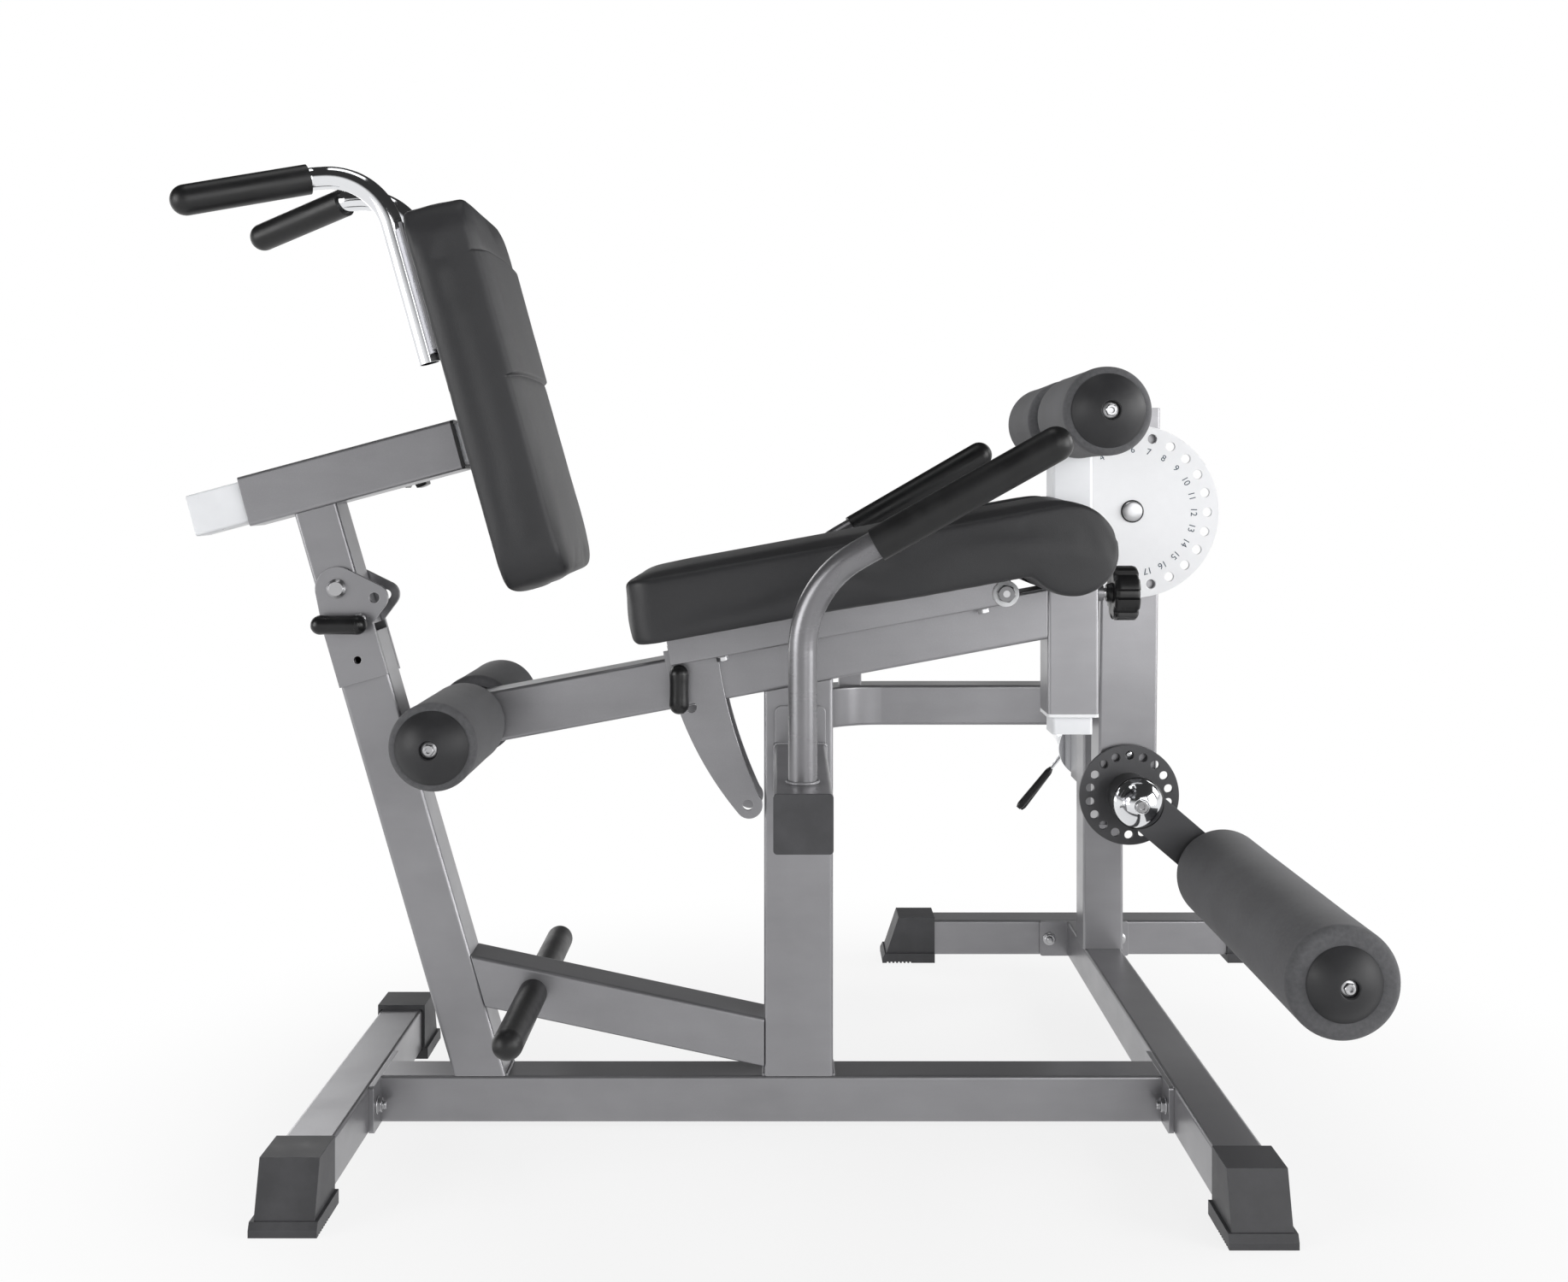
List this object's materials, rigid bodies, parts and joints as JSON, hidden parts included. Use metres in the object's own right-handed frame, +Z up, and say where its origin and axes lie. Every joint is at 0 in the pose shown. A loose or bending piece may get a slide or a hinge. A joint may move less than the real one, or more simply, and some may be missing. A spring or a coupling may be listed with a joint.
{
  "type": "leg extension and hamstring machine",
  "caption": "Plate-loaded leg extension and hamstring machine with padded tilting seat, folding backrest, foam rollers, swinging exercise arm with a hole dial, and side handles.",
  "frame": {"origin": "on the floor under the middle of the whole machine's bounding box", "axes": "+X forward, from the backrest to the shin roller; +Y to the side with the column and the plate horn; +Z up"},
  "size_m": [1.5074, 1.1924, 1.138],
  "materials": {
    "grey_frame": "satin metallic grey powder coat",
    "dark_frame": "satin dark powder coat",
    "rubber": "matt moulded rubber",
    "black_plastic": "satin moulded plastic",
    "nylon": "white nylon liner",
    "grip_rubber": "satin rubber grip",
    "foam": "matt foam rubber",
    "vinyl": "fine-grained black vinyl",
    "chrome": "polished chrome",
    "zinc": "zinc plated",
    "white_dial": "smooth white coat with plain black numbers"
  },
  "bodies": {
    "frame": {"base_tube": "grey_frame", "rear_crossbar": "grey_frame", "front_crossbar": "grey_frame", "outrigger_tube": "grey_frame", "rubber_feet": "rubber", "joint_plates": "grey_frame", "frame_bolts": "zinc", "mid_post": "grey_frame", "rear_post": "grey_frame", "diagonal_brace": "grey_frame", "storage_pegs": "rubber", "seat_beam": "grey_frame", "tube_end_caps": "black_plastic", "rear_roller_shaft": "zinc", "front_sleeve": "grey_frame", "front_sleeve_liner": "nylon", "handle_bracket": "grey_frame", "curved_brace": "grey_frame", "side_handles": "grey_frame", "side_handle_grips": "grip_rubber", "column": "grey_frame", "bearing_housing": "grey_frame", "hinge_plates": "grey_frame", "hinge_bolt": "zinc", "seat_pivot_bolt": "zinc"},
    "backrest_arm": {"back_upper_post": "grey_frame", "back_sleeve": "grey_frame", "back_sleeve_liner": "black_plastic"},
    "backrest": {"back_slide_tube": "chrome", "back_plate": "grey_frame", "back_pad": "vinyl", "back_handles": "chrome", "back_handle_grips": "grip_rubber"},
    "fold_lock": {"fold_lock_pin": "black_plastic"},
    "back_lock": {"back_knob": "black_plastic"},
    "seat": {"seat_rails": "grey_frame", "quadrant_plates": "grey_frame", "seat_pad_bolts": "zinc", "seat_pad": "vinyl"},
    "seat_lock": {"seat_lock_pin": "black_plastic"},
    "thigh_carriage": {"thigh_post": "chrome", "thigh_roller_shaft": "zinc"},
    "thigh_lock": {"thigh_knob": "black_plastic"},
    "exercise_arm": {"main_shaft": "zinc", "selector_dial": "white_dial", "weight_arm": "grey_frame", "weight_horn": "chrome"},
    "lever": {"lever_arm": "grey_frame", "shin_pivot_shaft": "zinc"},
    "dial_lock": {"dial_pin": "chrome"},
    "shin_lock": {"shin_pin": "chrome"},
    "shin_unit": {"selector_disc": "dark_frame", "shin_arm": "dark_frame", "dome_cap": "chrome"},
    "right_thigh": {"right_thigh_roller": "foam"},
    "left_thigh": {"left_thigh_roller": "foam"},
    "right_rear": {"right_rear_roller": "foam"},
    "left_rear": {"left_rear_roller": "foam"},
    "shin_pad": {"shin_roller": "foam"},
    "collar": {"spring_collar": "black_plastic"}
  },
  "joints": [
    {"name": "backrest_fold", "type": "hinge", "parent": "frame", "child": "backrest_arm", "pos_m": [-0.57169, -0.24525, 0.645], "axis": [0, -1, 0], "range_deg": [0, 90]},
    {"name": "backrest_slide", "type": "slide", "parent": "backrest_arm", "child": "backrest", "axis": [0.9659, 0, 0.2588], "range_m": [0, 0.075]},
    {"name": "fold_lock_pull", "type": "slide", "parent": "frame", "child": "fold_lock", "axis": [0, -1, 0], "range_m": [-0.003, 0.01]},
    {"name": "back_knob_pull", "type": "slide", "parent": "backrest_arm", "child": "back_lock", "axis": [0, 1, 0], "range_m": [-0.003, 0.01]},
    {"name": "seat_tilt", "type": "hinge", "parent": "frame", "child": "seat", "pos_m": [0.21671, -0.24525, 0.641], "axis": [0, 1, 0], "range_deg": [0, 26]},
    {"name": "seat_lock_pull", "type": "slide", "parent": "seat", "child": "seat_lock", "axis": [0, -1, 0], "range_m": [-0.003, 0.01]},
    {"name": "thigh_height", "type": "slide", "parent": "frame", "child": "thigh_carriage", "axis": [0, 0, 1], "range_m": [-0.024, 0.12]},
    {"name": "thigh_knob_pull", "type": "slide", "parent": "frame", "child": "thigh_lock", "axis": [1, 0, 0], "range_m": [-0.003, 0.01]},
    {"name": "exercise_swing", "type": "hinge", "parent": "frame", "child": "exercise_arm", "pos_m": [0.43971, -0.24525, 0.731], "axis": [0, -1, 0], "range_deg": [-50, 95]},
    {"name": "lever_select", "type": "hinge", "parent": "exercise_arm", "child": "lever", "pos_m": [0.43971, -0.24525, 0.731], "axis": [0, 1, 0], "range_deg": [-75, 45]},
    {"name": "dial_pin_pull", "type": "slide", "parent": "lever", "child": "dial_lock", "axis": [0, 1, 0], "range_m": [-0.008, 0.01]},
    {"name": "shin_pin_pull", "type": "slide", "parent": "lever", "child": "shin_lock", "axis": [0, 1, 0], "range_m": [-0.008, 0.01]},
    {"name": "shin_select", "type": "hinge", "parent": "lever", "child": "shin_unit", "pos_m": [0.4356, -0.24525, 0.33802], "axis": [0, -1, 0], "range_deg": [-140, 120]},
    {"name": "right_thigh_spin", "type": "hinge", "parent": "thigh_carriage", "child": "right_thigh", "pos_m": [0.30471, -0.24525, 0.8475], "axis": [0, 1, 0], "continuous": true},
    {"name": "left_thigh_spin", "type": "hinge", "parent": "thigh_carriage", "child": "left_thigh", "pos_m": [0.30471, -0.24525, 0.8475], "axis": [0, 1, 0], "continuous": true},
    {"name": "right_rear_spin", "type": "hinge", "parent": "frame", "child": "right_rear", "pos_m": [-0.41929, -0.24525, 0.4865], "axis": [0, 1, 0], "continuous": true},
    {"name": "left_rear_spin", "type": "hinge", "parent": "frame", "child": "left_rear", "pos_m": [-0.41929, -0.24525, 0.4865], "axis": [0, 1, 0], "continuous": true},
    {"name": "shin_roller_spin", "type": "hinge", "parent": "shin_unit", "child": "shin_pad", "pos_m": [0.54639, -0.24525, 0.2434], "axis": [0, 1, 0], "continuous": true},
    {"name": "collar_slide", "type": "slide", "parent": "exercise_arm", "child": "collar", "axis": [0, 1, 0], "range_m": [-0.08, 0.06]}
  ]
}
